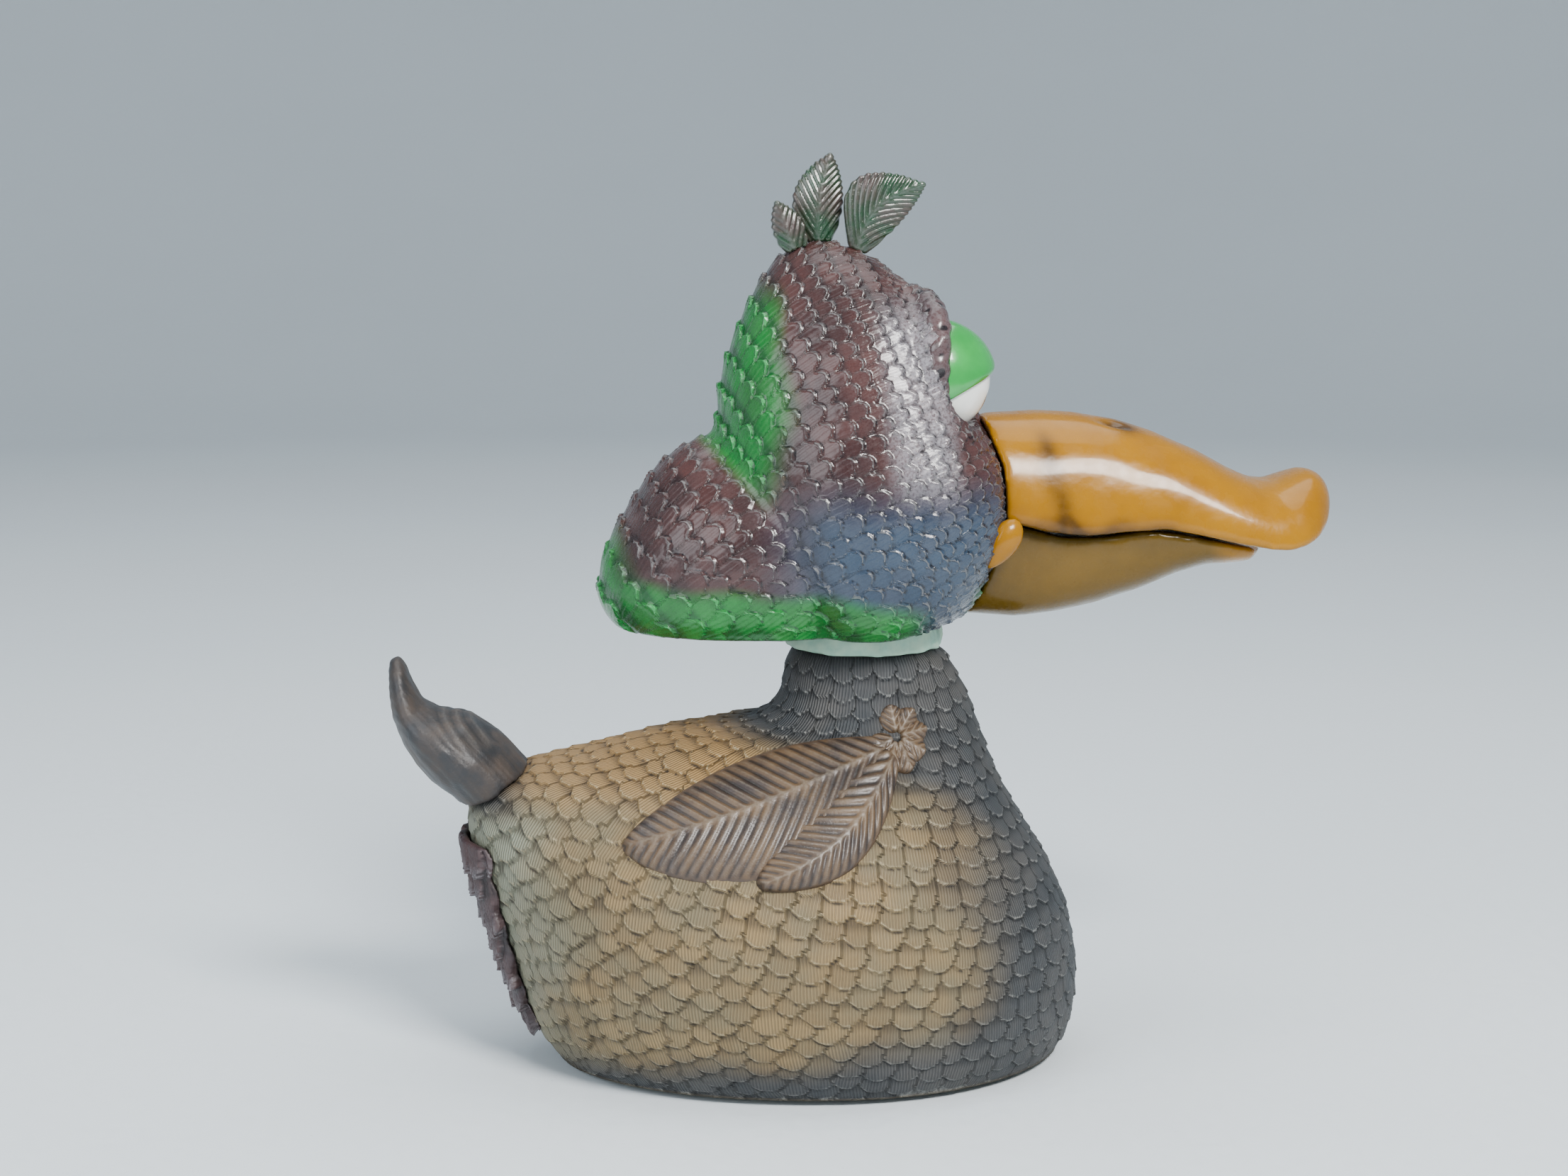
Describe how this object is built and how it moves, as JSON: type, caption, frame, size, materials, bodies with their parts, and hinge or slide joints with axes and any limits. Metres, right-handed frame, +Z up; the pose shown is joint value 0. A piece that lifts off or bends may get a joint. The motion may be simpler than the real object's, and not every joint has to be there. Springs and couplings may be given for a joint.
{
  "type": "bobblehead duck figurine",
  "caption": "Cast resin bobblehead duck: a scale-feathered body on a flat base and a big glossy head with a long flat bill that nods, sways, turns and bounces on a hidden neck spring",
  "frame": {"origin": "middle of the figurine's length and width, on the surface it stands on", "axes": "+Z up, +X the way the duck and its bill point, +Y its left side"},
  "size_m": [0.1879, 0.0876, 0.1806],
  "materials": {
    "body_paint": "satin",
    "tail_paint": "satin",
    "wing_paint": "satin",
    "skirt_paint": "satin",
    "ring_paint": "satin",
    "head_paint": "gloss",
    "crest_paint": "gloss",
    "lid_paint": "gloss",
    "eye_paint": "gloss",
    "bill_yellow": "gloss",
    "bill_olive": "gloss",
    "keeper_plastic": "matte",
    "spring_steel": "satin",
    "screw_steel": "satin",
    "strap_steel": "satin",
    "base_board": "matte",
    "pad_felt": "matte"
  },
  "bodies": {
    "figurine_body": {"body_shell": "body_paint", "base_plate": "base_board", "felt_pad": "pad_felt", "tail": "tail_paint", "rump_skirt": "skirt_paint", "wing_left": "wing_paint", "wing_right": "wing_paint", "neck_ring": "ring_paint", "spring_plug": "keeper_plastic", "plug_screw": "screw_steel"},
    "spring_foot": {"spring_lower": "spring_steel"},
    "spring_waist": {"spring_middle": "spring_steel"},
    "spring_neck": {"spring_upper": "spring_steel"},
    "head": {"head_shell": "head_paint", "spring_cap": "keeper_plastic", "cap_screw": "screw_steel", "head_strap": "strap_steel", "upper_bill": "bill_yellow", "lower_bill": "bill_olive", "crest_feather_rear": "crest_paint", "crest_feather_middle": "crest_paint", "crest_feather_front": "crest_paint", "strap_screw_left": "screw_steel", "strap_screw_right": "screw_steel", "eyeball_left": "eye_paint", "eyeball_right": "eye_paint", "eyelid_left": "lid_paint", "eyelid_right": "lid_paint", "gape_left": "bill_yellow", "gape_right": "bill_yellow"}
  },
  "joints": [
    {"name": "head_bounce", "type": "slide", "parent": "figurine_body", "child": "spring_foot", "axis": [0, 0, 1], "range_m": [-0.002, 0.003], "stiffness_N_per_m": 600, "springref_m": 0.00268, "deforming": ["spring_lower"]},
    {"name": "head_nod", "type": "hinge", "parent": "spring_foot", "child": "spring_waist", "pos_m": [0, 0, 0.094], "axis": [0, 1, 0], "range_deg": [-8, 8], "stiffness_Nm_per_rad": 0.25, "springref_deg": -4.84},
    {"name": "head_sway", "type": "hinge", "parent": "spring_waist", "child": "spring_neck", "pos_m": [0, 0, 0.094], "axis": [1, 0, 0], "range_deg": [-7, 7], "stiffness_Nm_per_rad": 0.25},
    {"name": "head_turn", "type": "hinge", "parent": "spring_neck", "child": "head", "pos_m": [0, 0, 0.094], "axis": [0, 0, 1], "range_deg": [-12, 12], "stiffness_Nm_per_rad": 0.15}
  ]
}
